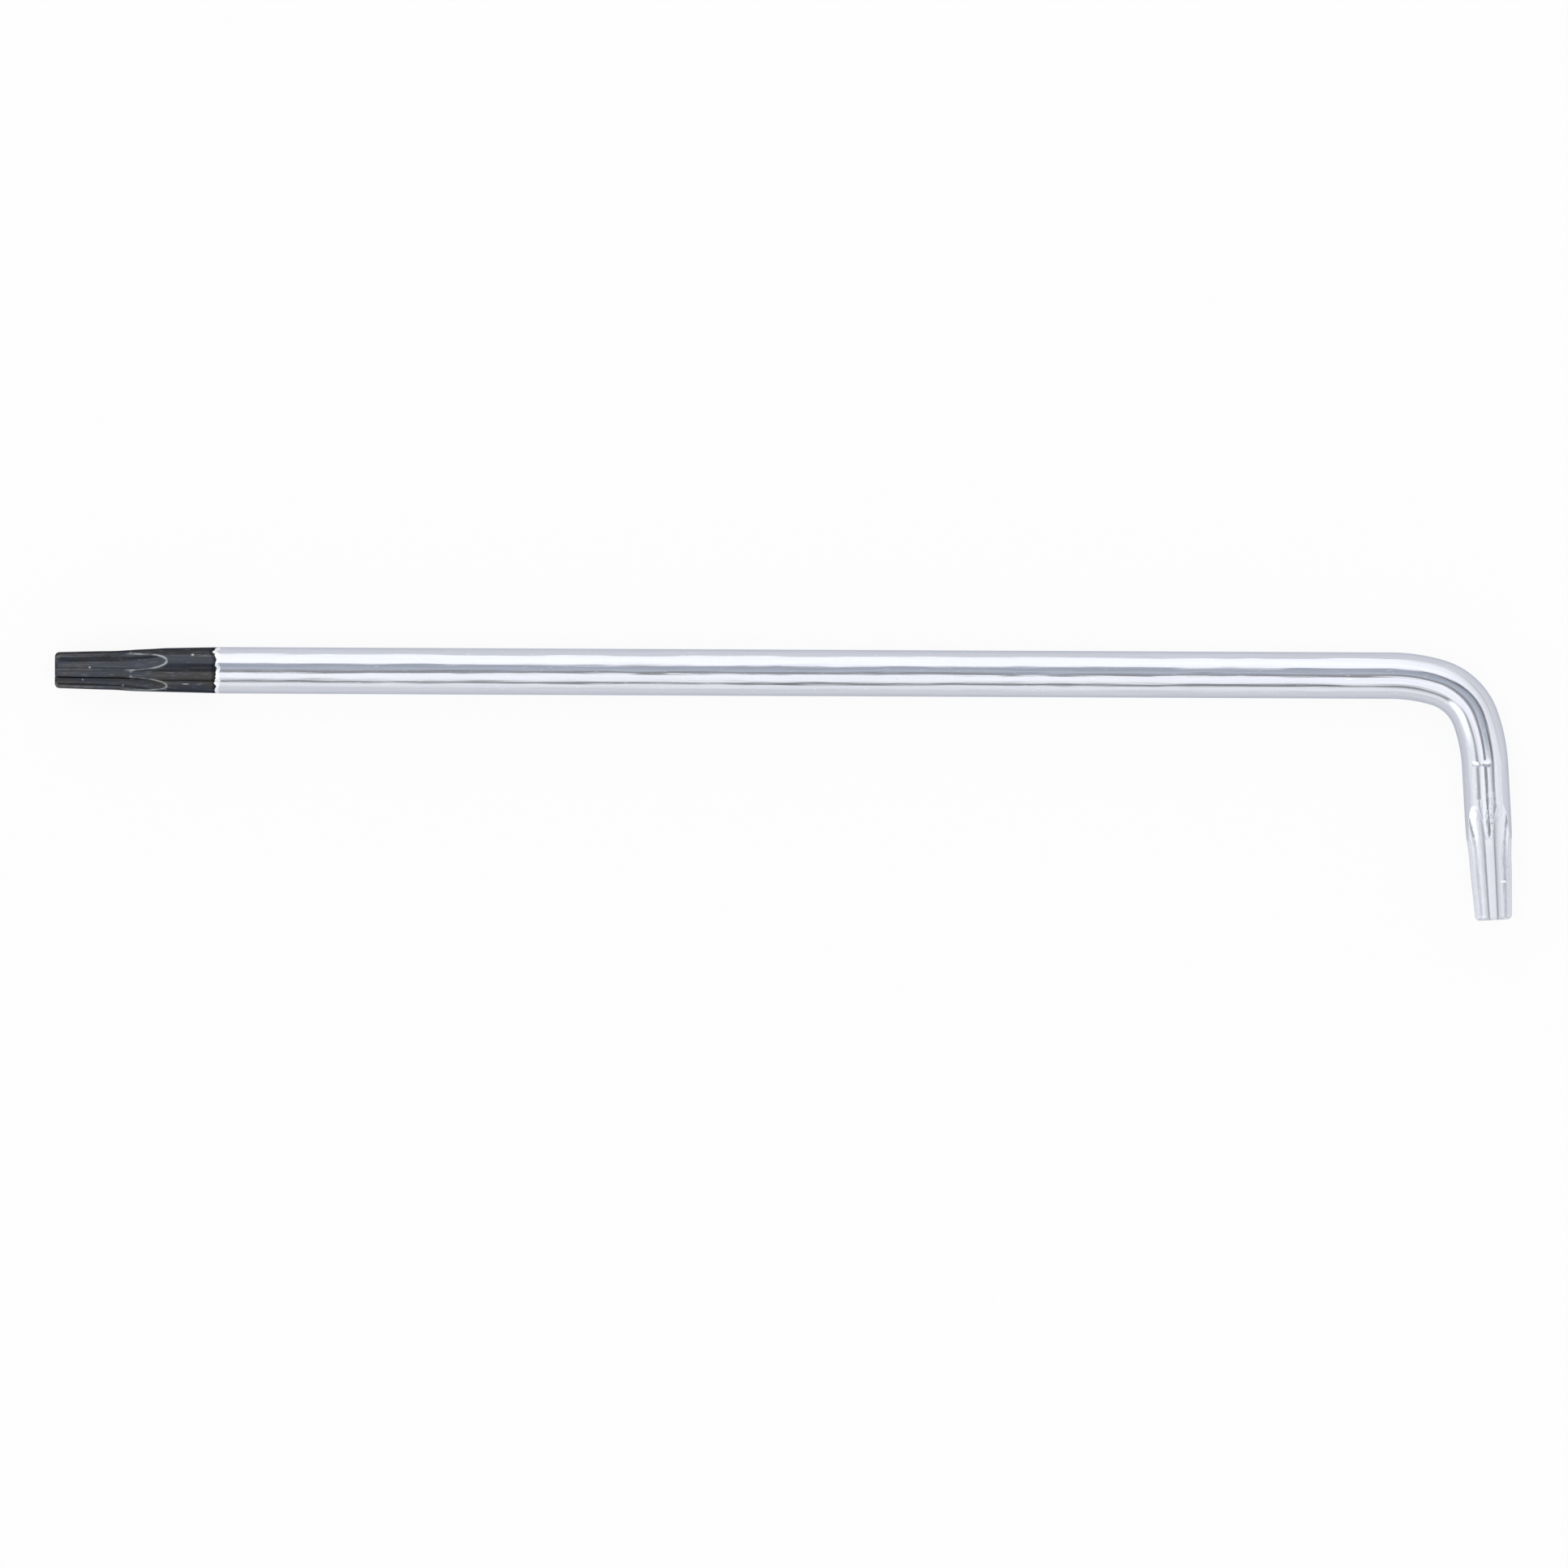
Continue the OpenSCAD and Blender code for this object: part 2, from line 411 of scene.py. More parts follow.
class BarAxis:
    """The axis of the bar from the end of the long arm, through the bend, to the end of the short arm."""

    def __init__(self, bar):
        self.start = mount_place("long_star")
        ahead = -mount_axis("long_star")
        aside = mount_axis("short_star")
        turn = ahead.angle(aside)

        # Both arms measured to the corner where their axes cross
        between = mount_place("short_star") - self.start
        long_reach = between.cross(aside).z / ahead.cross(aside).z
        short_reach = (between - long_reach * ahead).length

        # Reach of the bend from that corner, and its arcs as length and radius
        step = bar.lead_radius - bar.bend_radius
        corner_radius = (bar.lead_radius - step * math.cos(bar.lead_turn)) / math.cos(turn / 2)
        bend_reach = corner_radius * math.sin(turn / 2) + step * math.sin(bar.lead_turn)
        lead = (bar.lead_radius * bar.lead_turn, bar.lead_radius)
        middle = (bar.bend_radius * (turn - 2 * bar.lead_turn), bar.bend_radius)

        self.bend_start = long_reach - bend_reach
        self.bend_end = self.bend_start + 2 * lead[0] + middle[0]
        self.end = self.bend_end + short_reach - bend_reach
        self.runs = [(self.bend_start, None), lead, middle, lead, (short_reach - bend_reach, None)]

    def place(self, distance):
        """The point of the axis at a distance from its start. Runs are straight or turn to the right."""
        point = self.start.copy()
        heading = 0.0
        for run, radius in self.runs:
            step = min(distance, run)
            distance -= step
            if radius is None:
                point += Vector((step * math.cos(heading), step * math.sin(heading), 0))
                continue
            turned = heading - step / radius
            point.x += radius * (math.sin(heading) - math.sin(turned))
            point.y += radius * (math.cos(turned) - math.cos(heading))
            heading = turned
        return point


# Geometry trees

def new_tree(name, inputs):
    """A geometry tree with named inputs. Returns its board and the wires that come in."""
    tree = bpy.data.node_groups.new(name, "GeometryNodeTree")
    tree.interface.new_socket("Geometry", in_out="OUTPUT", socket_type="NodeSocketGeometry")
    tree.interface.new_socket("Geometry", in_out="INPUT", socket_type="NodeSocketGeometry")
    for label, kind in inputs.items():
        tree.interface.new_socket(label, in_out="INPUT", socket_type="NodeSocket" + kind)
    board = Board(tree)
    source = board.node("NodeGroupInput")
    return board, {socket.name: Wire(board, socket) for socket in source.outputs if socket.name}


def end_tree(board, geometry, material):
    """Ends a tree with plain geometry in one material."""
    plain = board.wire("GeometryNodeRealizeInstances", inputs={"Geometry": geometry})
    dressed = board.wire("GeometryNodeSetMaterial", inputs={"Geometry": plain, "Material": material})
    board.node("NodeGroupOutput", inputs={0: dressed})


def stored(board, geometry, name, kind, value):
    """Geometry with a named attribute on its points."""
    inputs = {"Geometry": geometry, "Name": name, "Value": value}
    return board.wire("GeometryNodeStoreNamedAttribute", {"data_type": kind, "domain": "POINT"}, inputs)


def named(board, name, kind):
    """The values of a named attribute."""
    return board.wire("GeometryNodeInputNamedAttribute", {"data_type": kind}, {"Name": name})


# Share of the nick's reach over which it doesn't fade out yet
NICK_FULL = 0.8


def bar_tree():
    """Sweeps the bar's circle along a path and cuts a shallow nick across its upper side."""
    lengths = (
        "Axis height", "Nick place", "Nick aside", "Nick depth", "Nick before", "Nick after", "Nick reach",
        "Nick spacing",
    )
    kinds = {label: "Float" for label in (*lengths, "Nick shallow")}
    board, given = new_tree("bar", {"Sides": "Int", **kinds, "Material": "Material"})

    path = board.wire("GeometryNodeMeshToCurve", inputs={"Mesh": given["Geometry"]})
    path = board.wire("GeometryNodeSetCurveNormal", {"mode": "Z_UP"}, {"Curve": path})
    circle = board.wire("GeometryNodeCurvePrimitiveCircle", inputs={
        "Resolution": given["Sides"], "Radius": 1,
    })
    position = board.wire("GeometryNodeInputPosition")
    circle = stored(board, circle, "across", "FLOAT_VECTOR", position)
    radius = named(board, "bar_radius", "FLOAT")
    swept = board.wire("GeometryNodeCurveToMesh", inputs={
        "Curve": path, "Profile Curve": circle, "Scale": radius, "Fill Caps": True,
    })

    # The nick is gentle on one side, fades out at its ends and is deepest on both sides of its middle
    along = named(board, "along", "FLOAT")
    right = board.split(named(board, "across", "FLOAT_VECTOR"))[0] * radius
    up = board.split(position)[2] - given["Axis height"]
    past = along - given["Nick place"]
    before = bell(past.math("MINIMUM", 0), given["Nick before"])
    after = bell(past.math("MAXIMUM", 0), given["Nick after"])
    aside = right - given["Nick aside"]
    ends = board.ramp(abs(aside), given["Nick reach"], given["Nick reach"] * NICK_FULL)
    wave = (aside * math.pi / given["Nick spacing"]).math("COSINE")
    uneven = 1 - (1 - given["Nick shallow"]) * (1 + wave) / 2
    nick = before * after * ends * uneven * up.math("GREATER_THAN", 0)
    offset = board.wire("ShaderNodeVectorMath", {"operation": "SCALE"}, {
        "Vector": board.wire("GeometryNodeInputNormal"), "Scale": -given["Nick depth"] * nick,
    })

    swept = stored(board, swept, STRAIGHT, "FLOAT_VECTOR", board.join(along, right, up))
    # The nick's gentle side, towards the bend, is stored for a painted highlight in the plating
    swept = stored(board, swept, NICK_PAINTED_HIGHLIGHT, "FLOAT", nick * past.math("LESS_THAN", 0))
    swept = board.wire("GeometryNodeSetPosition", inputs={"Geometry": swept, "Offset": offset})
    for name in ("along", "across", "bar_radius"):
        swept = board.wire("GeometryNodeRemoveAttribute", inputs={"Geometry": swept, "Name": name})
    end_tree(board, swept, given["Material"])
    return board.tree


# Rows of points from the end face to the run-out edges, from there to the bar, and points round a tip
ROWS_TO_EDGE = 120
ROWS_BEYOND = 60
POINTS_ROUND = 360

# Where the wear on the lobes' corners starts to fade and ends, in lengths of the straight flutes
CORNER_FADE_START = 0.6
CORNER_FADE_END = 1.6

# Turn over which the slant of a run-out edge is measured
SMALL_TURN = math.radians(0.5)


def star_tip_tree():
    """Shapes a cylinder into a star tip with tapered flutes that run out on an arc into the collar.
    One row of its points follows the edge of the run-outs."""
    lengths = (
        "Crest radius", "Root radius", "Lobe radius", "Flute radius", "Run-out radius", "Nose radius",
        "Flute length", "Tip length", "Collar radius", "Edge rounding", "Wear width", "Bar place",
    )
    numbers = (
        "Crest turn", "Meeting angle", "Star slope", "Collar slope", "Turn", "Heading", "Direction",
        "Corner wear",
    )
    kinds = {label: "Float" for label in lengths + numbers}
    board, given = new_tree("star_tip", {**kinds, "End": "Vector", "Material": "Material"})

    def outline_at(fold):
        """Outline at the end face, by the angle from the middle of a crest: crest, corner, flute."""
        past_crest = (fold - given["Crest turn"]).math("MAXIMUM", 0)
        lobe_centre = given["Crest radius"] - given["Lobe radius"]
        lobe_square = given["Lobe radius"] ** 2 - (lobe_centre * past_crest.math("SINE")) ** 2
        lobe = lobe_centre * past_crest.math("COSINE") + lobe_square.math("MAXIMUM", 0).math("SQRT")
        to_floor = HALF_PITCH - fold
        flute_centre = given["Root radius"] + given["Flute radius"]
        flute_square = given["Flute radius"] ** 2 - (flute_centre * to_floor.math("SINE")) ** 2
        flute = flute_centre * to_floor.math("COSINE") - flute_square.math("MAXIMUM", 0).math("SQRT")
        return flute + (lobe - flute) * fold.math("LESS_THAN", given["Meeting angle"])

    def collar_at(distance):
        """Radius of the tapered collar."""
        return given["Collar radius"] - (given["Tip length"] - distance) * given["Collar slope"]

    def grown_at(distance):
        """How much larger the tapered star is than at its end face."""
        tapered = distance.math("MINIMUM", given["Flute length"])
        return 1 + tapered * given["Star slope"] / given["Crest radius"]

    def edge_at(fold):
        """Distance from the end face to where a flute has risen on its arc to the tapered collar."""
        slope = given["Collar slope"]
        depth = collar_at(given["Flute length"]) - outline_at(fold) * grown_at(given["Flute length"])
        level = given["Run-out radius"] - depth.math("MAXIMUM", 0)
        chord = given["Run-out radius"] ** 2 - level ** 2
        root = ((level * slope) ** 2 + (1 + slope * slope) * chord).math("SQRT")
        return given["Flute length"] + (level * slope + root) / (1 + slope * slope)

    # The cylinder is one high and has its middle at zero
    rows = ROWS_TO_EDGE + ROWS_BEYOND
    cylinder = board.wire("GeometryNodeMeshCylinder", inputs={
        "Vertices": POINTS_ROUND, "Side Segments": rows, "Radius": 1, "Depth": 1,
    })
    x, y, z = board.split(board.wire("GeometryNodeInputPosition"))
    row = (z + 0.5) * rows
    round_angle = y.math("ARCTAN2", x)
    fold = (round_angle - given["Turn"]).math("PINGPONG", HALF_PITCH)
    edge = edge_at(fold)

    # Rows crowd towards the end face and towards the run-out edge
    before = (row / ROWS_TO_EDGE).math("MINIMUM", 1)
    after = ((row - ROWS_TO_EDGE) / ROWS_BEYOND).math("MAXIMUM", 0)
    eased = before * before * (3 - 2 * before)
    distance = edge * eased + (given["Tip length"] - edge) * after * after

    # The tip is the smaller of collar and star, less the rounded edge of its end face
    risen = (distance - given["Flute length"]).math("MAXIMUM", 0)
    arc = given["Run-out radius"] - (given["Run-out radius"] ** 2 - risen ** 2).math("SQRT")
    star = outline_at(fold) * grown_at(distance) + arc
    nose = (given["Nose radius"] - distance).math("MAXIMUM", 0)
    nose_cut = given["Nose radius"] - (given["Nose radius"] ** 2 - nose ** 2).math("SQRT")
    radius = collar_at(distance).math("SMOOTH_MIN", star, given["Edge rounding"]) - nose_cut

    # Place in the frame, and on the bar before it was bent
    up = radius * round_angle.math("COSINE")
    left = radius * round_angle.math("SINE")
    ahead_x = given["Heading"].math("COSINE")
    ahead_y = given["Heading"].math("SINE")
    place = board.join(distance * ahead_x - left * ahead_y, distance * ahead_y + left * ahead_x, up)
    place = board.vector_math("ADD", place, given["End"])
    along = given["Bar place"] + given["Direction"] * distance
    straight = board.join(along, -given["Direction"] * left, up)

    # The worn line is as wide on a slanting edge as on a straight one
    slant = (edge_at(fold + SMALL_TURN) - edge) / (SMALL_TURN * given["Collar radius"])
    worn_edge = bell((distance - edge) / (1 + slant * slant).math("SQRT"), given["Wear width"])
    worn_edge = worn_edge * board.ramp(fold, 0, given["Meeting angle"])
    corner = bell((fold - given["Meeting angle"]) * given["Crest radius"], given["Wear width"])
    flutes = given["Flute length"]
    fade = board.ramp(distance, flutes * CORNER_FADE_END, flutes * CORNER_FADE_START)
    worn_corner = given["Corner wear"] * corner * fade
    crest = (1 - fold / HALF_PITCH) * board.ramp(distance, edge, edge - given["Nose radius"])

    tip = stored(board, cylinder, STRAIGHT, "FLOAT_VECTOR", straight)
    tip = stored(board, tip, WEAR, "FLOAT", worn_edge.math("MAXIMUM", worn_corner))
    tip = stored(board, tip, CREST, "FLOAT", crest)
    tip = board.wire("GeometryNodeSetPosition", inputs={"Geometry": tip, "Position": place})
    tip = board.wire("GeometryNodeSetShadeSmooth", inputs={"Geometry": tip})
    end_tree(board, tip, given["Material"])
    return board.tree


def finished_piece(name, base, tree, inputs, node, slot):
    """Runs a tree on a base mesh and keeps the result as a plain mesh in place of a node of the frame."""
    scene = bpy.context.scene
    source = bpy.data.objects.new(name + "_base", base)
    scene.collection.objects.link(source)
    modifier = source.modifiers.new("shape", "NODES")
    modifier.node_group = tree
    sockets = [item for item in tree.interface.items_tree if item.in_out == "INPUT"]
    identifiers = {socket.name: socket.identifier for socket in sockets}
    for label, value in inputs.items():
        modifier[identifiers[label]] = value
    mesh = bpy.data.meshes.new_from_object(source.evaluated_get(bpy.context.evaluated_depsgraph_get()))
    bpy.data.objects.remove(source)
    bpy.data.meshes.remove(base)
    if not mesh.polygons:
        raise RuntimeError(f"the tree made no faces for {name}")
    mesh.name = name
    mesh.set_sharp_from_angle(angle=HARD_EDGE)
    piece = bpy.data.objects.new(name, mesh)
    scene.collection.objects.link(piece)
    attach(piece, BODY)
    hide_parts(node)


# Finishes

def new_material(name):
    """A material with an empty board."""
    made = bpy.data.materials.new(name)
    made.use_nodes = True
    return made, Board(made.node_tree)


def end_metal(board, tone, roughness, edge_tint, height, depth):
    """Ends a material in a metal surface whose bumps are the height times the depth."""
    bump = board.wire("ShaderNodeBump", inputs={"Strength": 1, "Distance": depth, "Height": height})
    surface = board.wire("ShaderNodeBsdfPrincipled", inputs={
        "Base Color": tone,
        "Metallic": 1,
        "Roughness": roughness,
        "Specular Tint": opaque(edge_tint),
        "Normal": bump,
    })
    board.node("ShaderNodeOutputMaterial", inputs={"Surface": surface})


def grained(along, across):
    """Grain of a noise, from its length along the bar and its width in millimetres."""
    return (along * MM, across * MM, across * MM)


def upper_mark(place_along, right, up, mark):
    """A soft spot on the upper side, by its place along and across and half its length and width."""
    mark_along, mark_right, half_length, half_width = mark
    spot = bell(place_along - mark_along * MM, half_length * MM)
    return spot * bell(right - mark_right * MM, half_width * MM) * up.math("GREATER_THAN", 0)


# The black finish ends in a ragged edge. These are the edge's reach, then the place across, half the width
# and the length of a notch in it, and half the width over which one finish gives way to the other
RAGGED_REACH = 1 * MM
NOTCH_RIGHT = -2.4 * MM
NOTCH_HALF_WIDTH = 0.2 * MM
NOTCH_LENGTH = 0.4 * MM
EDGE_BLUR = 0.03 * MM

# Distances past that edge between which a band of painted highlight on the plating fades out, and a darker
# black fades in
PAINTED_HIGHLIGHT_BAND = (0.6 * MM, 0.4 * MM)
DARK_BAND = (-0.6 * MM, -0.3 * MM)

# Distances from the end of the short arm between which the plating becomes uneven, and then satin
UNEVEN_ZONE = (19 * MM, 13 * MM)
SATIN_ZONE = (12 * MM, 8 * MM)

# Painted shade along the corners of the plated star, where they meet the flutes: its place and half width,
# where a flute's floor is 0 and a crest is 1, and the distances from the top of the bar between which it
# fades in
PAINTED_SHADE_PLACE = 0.55
PAINTED_SHADE_HALF_WIDTH = 0.1
PAINTED_SHADE_ZONE = (1.3 * MM, 1 * MM)

# Marks on the upper side of the tips, in millimetres: distance from the tip's end, place across, half the
# length and half the width
FLUTE_DENT = (4.9, -1.5, 0.2, 0.4)
BLACK_MARKS = (
    (4.5, -0.3, 0.13, 0.13),
    (3.6, 1.3, 0.1, 0.1),
    (8.8, 2.0, 0.13, 0.1),
    (17.8, -2.0, 0.2, 0.14),
    (16.9, 1.8, 0.45, 0.07),
)

# Depth of the marks in the two finishes, which the heights in their materials are multiplied by
PLATING_DEPTH = 0.01 * MM
BLACK_DEPTH = 0.008 * MM


def past_black(board, place, key):
    """Distance past the ragged end of the black finish, along the bar."""
    ragged = board.noise(place, grained(0.9, 0.9)) - 0.5
    along, right, up = board.split(place)
    notch = bell(right - NOTCH_RIGHT, NOTCH_HALF_WIDTH) * up.math("GREATER_THAN", 0)
    end = tip_length(key.bar, key.star, key.long_tip)
    return along + ragged * RAGGED_REACH + notch * NOTCH_LENGTH - end


def plating_material(key):
    """Bright plating with fine lines along the bar and a few pits, and a painted highlight beside the black
    finish and on the nick.
    Towards the star it is uneven, and on the star it is satin, with matt crests, painted shade at its
    corners and a dent.
    All the plated pieces share it."""
    name = "bright_plating"
    if name in bpy.data.materials:
        return bpy.data.materials[name]
    finishes = key.finishes
    made, board = new_material(name)
    place = board.attribute(STRAIGHT, "Vector")
    along, right, up = board.split(place)
    to_end = BarAxis(key.bar).end - along
    past = past_black(board, place, key)
    lap = board.ramp(past, EDGE_BLUR, -EDGE_BLUR)

    # Marks all over the bar
    lines = board.noise(place, grained(14, 0.3))
    shade = board.ramp(lines, 0.35, 0.65)
    waves = board.noise(place, grained(7, 1.3), detail=1)
    grain = board.noise(place, grained(0.5, 0.12))
    dashes = board.ramp(board.noise(place, grained(1.2, 0.12)), 0.66, 0.74)
    pits = board.specks(place, spacing=1.6 * MM, radius=0.09 * MM, kept=0.1)
    # Painted highlight on the nick's gentle side
    scrape = board.ramp(board.attribute(NICK_PAINTED_HIGHLIGHT), 0.3, 0.6)

    # Marks on the star and on the bar beside it
    crest = board.attribute(CREST)
    uneven = board.noise(place, grained(0.8, 0.4)) * board.ramp(to_end, *UNEVEN_ZONE)
    satin = board.ramp(to_end, *SATIN_ZONE)
    matt = board.ramp(crest, 0.7, 0.8)
    # Painted shade along the star's corners on the upper side, where they meet the flutes
    painted_corner_shade = bell(crest - PAINTED_SHADE_PLACE, PAINTED_SHADE_HALF_WIDTH) * board.ramp(abs(right), *PAINTED_SHADE_ZONE)
    painted_corner_shade = painted_corner_shade * up.math("GREATER_THAN", 0)
    dent = upper_mark(to_end, right, up, FLUTE_DENT)

    # How far the plating is brightened: painted highlight beside the black finish and on the nick, and
    # rubbed bright marks
    burnish_and_highlight = board.ramp(past, *PAINTED_HIGHLIGHT_BAND)
    for rubbed in (scrape, 0.45 * matt, 0.6 * dashes, board.ramp(dent, 0.3, 0.6)):
        burnish_and_highlight = burnish_and_highlight.math("MAXIMUM", rubbed)

    shaded = opaque([0.95 * part for part in finishes.plating])
    tone = board.mix(shade, shaded, opaque(finishes.plating))
    tone = board.mix(0.5 * pits, tone, opaque(finishes.worn))
    # Painted shade at the star's corners, in the colour of worn steel
    tone = board.mix(0.6 * painted_corner_shade, tone, opaque(finishes.worn))
    # Painted highlight beside the black finish and on the nick, and plating rubbed bright
    tone = board.mix(burnish_and_highlight, tone, opaque(finishes.burnished_and_highlight))
    tone = board.mix(lap, tone, opaque(finishes.black))
    rougher = 0.05 * shade + 0.2 * (pits + satin) + 0.15 * matt + 0.25 * burnish_and_highlight
    roughness = finishes.plating_roughness + rougher
    roughness = roughness + (finishes.black_roughness - roughness) * lap
    height = lines * 1.5 + waves * 6 + uneven * 3 + grain * 0.15 - pits - dent * 5
    end_metal(board, tone, roughness, finishes.plating_edge, height, PLATING_DEPTH)
    return made


def black_material(key):
    """Satin black finish, worn bright along the run-out edges, with long scratches and a few chips."""
    finishes = key.finishes
    made, board = new_material("worn_black")
    place = board.attribute(STRAIGHT, "Vector")
    along, right, up = board.split(place)
    past = past_black(board, place, key)

    patches = board.ramp(board.noise(place, grained(4, 2)), 0.4, 0.65)
    lines = board.noise(place, grained(9, 0.25), detail=3)
    streaks = board.ramp(lines, 0.52, 0.7)
    grain = board.noise(place, grained(0.25, 0.15), detail=3)
    breaks = board.ramp(board.noise(place, grained(1.2, 0.8)), 0.3, 0.55)
    scratches = board.ramp(board.noise(place, grained(1.6, 0.14)), 0.62, 0.76)
    chips = board.specks(place, spacing=1.3 * MM, radius=0.13 * MM, kept=0.08)
    for mark in BLACK_MARKS:
        chips = chips.math("MAXIMUM", board.ramp(upper_mark(along, right, up, mark), 0.2, 0.6))
    worn_edge = board.attribute(WEAR) * (0.25 + 0.75 * breaks)
    worn = (worn_edge + chips + 0.4 * scratches + 0.12 * streaks).math("MINIMUM", 1)

    tone = board.mix(patches, opaque(finishes.black), opaque(finishes.brown))
    tone = board.mix(0.5 * board.ramp(past, *DARK_BAND), tone, opaque((0, 0, 0)))
    tone = board.mix(worn, tone, opaque(finishes.worn))
    # Past the ragged edge, the black tip takes the colour of the plating's painted highlight
    tone = board.mix(board.ramp(past, -EDGE_BLUR, EDGE_BLUR), tone, opaque(finishes.burnished_and_highlight))
    roughness = finishes.black_roughness + 0.1 * (grain - 0.5)
    height = lines + grain * 0.5 - chips
    end_metal(board, tone, roughness, finishes.black_edge, height, BLACK_DEPTH)
    return made


# Floor and light

def floor_material(studio):
    """White floor. Part of what is seen of it is plain white, and less of that in a reflection, where the
    floor keeps the shade beside the key."""
    made, board = new_material("floor")
    rays = board.node("ShaderNodeLightPath")
    glow = Wire(board, rays.outputs["Is Camera Ray"]) * studio.floor_glow
    for name in ("Is Glossy Ray", "Is Transmission Ray"):
        glow = glow.math("MAXIMUM", Wire(board, rays.outputs[name]) * studio.mirrored_glow)
    paper = board.wire("ShaderNodeBsdfDiffuse", inputs={"Color": opaque(studio.floor)})
    white = board.wire("ShaderNodeEmission", inputs={"Strength": 1})
    mixed = board.wire("ShaderNodeMixShader", inputs={0: glow, 1: paper, 2: white})
    board.node("ShaderNodeOutputMaterial", inputs={"Surface": mixed})
    return made


# Parts of the light tent. A place in it is given as the tilt to the right and to the back of a mirror that
# shows it to the camera. A part has a middle, half a width and half a depth, and is an oval where its
# squareness is 2 and a rounded square where that is larger
PANEL = ((0, -0.15), (0.347, 0.365), 4)
CARD = ((0.1, 0.16), (0.22, 0.138), 4)
STAND = ((0, 0), (0.357, 0.285), 4)
LAMP = ((-0.54, -0.34), (0.23, 0.21), 2)
OPENING = ((0.02, -0.015), (0.06, 0.065), 2)

# The dark edge of the stand fades in between these places to the right and to the back
STAND_RIGHT = (0.01, 0.1)
STAND_BACK = (0, 0.06)

# The card is a little blue, and hides this share of the panel's rim
CARD_TINT = (0.93, 0.99, 1.08)
CARD_COVER = 0.7

# Least height over the bottom of the tent that a place is worked out from
LEAST_HEIGHT = 0.05


def tent_light(studio):
    """White light tent, brightest overhead. A square panel with a dark rim hangs overhead, round the dark
    opening for the camera. A bluish grey card on a dark stand is beside the opening, and a lamp stands low
    on one side."""
    world = bpy.data.worlds.new("light_tent")
    world.use_nodes = True
    board = Board(world.node_tree)
    x, y, z = board.split(board.wire("ShaderNodeTexCoord", output="Generated"))
    above = (1 + z).math("MAXIMUM", LEAST_HEIGHT)
    right = x / above
    back = y / above

    def outward(part):
        """How far out a place is from the middle of a part, where 1 is the part's outline."""
        centre, half, squareness = part
        aside = abs(right - centre[0]) / half[0]
        along = abs(back - centre[1]) / half[1]
        return (aside ** squareness + along ** squareness) ** (1 / squareness)

    def filled(part, outer, inner):
        """1 on a part and 0 round it, with a soft edge."""
        return board.ramp(outward(part), outer, inner)

    def edged(part, width):
        """1 along the outline of a part, and less on both sides of it."""
        return bell(outward(part) - 1, width)

    card = filled(CARD, outer=1.1, inner=0.9)
    rim = edged(PANEL, width=0.24) * (1 - CARD_COVER * card)
    stand = edged(STAND, width=0.13) * board.ramp(right, *STAND_RIGHT) * board.ramp(back, *STAND_BACK)
    rim_light = studio.rim_light + studio.rim_side_light * abs(right) / (abs(right) + abs(back))

    overhead = (1 - (right * right + back * back)).math("MAXIMUM", 0)
    back_light = back.math("MAXIMUM", 0) * (studio.back_light - right.math("MAXIMUM", 0))
    light = 1 + studio.overhead_light * overhead + back_light
    for level, mask in (
        (studio.card_light, card),
        (rim_light, rim),
        (studio.stand_light, stand),
        (studio.lamp_light, filled(LAMP, outer=1.2, inner=0.85)),
        (studio.opening_light, filled(OPENING, outer=1.25, inner=0.75)),
    ):
        light = light + (level - light) * mask
    tint = board.mix(card, opaque((1, 1, 1)), opaque(CARD_TINT))
    glow = board.wire("ShaderNodeBackground", inputs={"Color": tint, "Strength": light})
    board.node("ShaderNodeOutputWorld", inputs={"Surface": glow})
    return world


# Pieces

# Steps of the bar's mesh along its axis: on the long arm, through the bend, at the nick, on the short arm,
# and next to the ends of the bend, where they keep its end faces square to the arms
LONG_STEP = 5 * MM
BEND_STEP = 0.1 * MM
NICK_STEP = 0.03 * MM
SHORT_STEP = 0.5 * MM
END_STEP = 0.02 * MM

# Steps over the plating's lip, and the reach of the steps at the nick, in widths of its gentle side
LIP_STEPS = 8
NICK_ZONE = 2.5


def stations(marks, steps):
    """Distances from the first mark to the last, with a step for each stretch between marks."""
    made = [marks[0]]
    for start, end, step in zip(marks, marks[1:], steps):
        count = math.ceil((end - start) / step)
        made += [start + (end - start) * i / count for i in range(1, count + 1)]
    return made


def path_mesh(axis, distances, radii):
    """A line of points on the bar's axis that know their distance along it and the bar's radius."""
    mesh = bpy.data.meshes.new("path")
    edges = [(i, i + 1) for i in range(len(distances) - 1)]
    mesh.from_pydata([axis.place(distance) for distance in distances], edges, [])
    for name, values in (("along", distances), ("bar_radius", radii)):
        mesh.attributes.new(name, "FLOAT", "POINT").data.foreach_set("value", values)
    return mesh


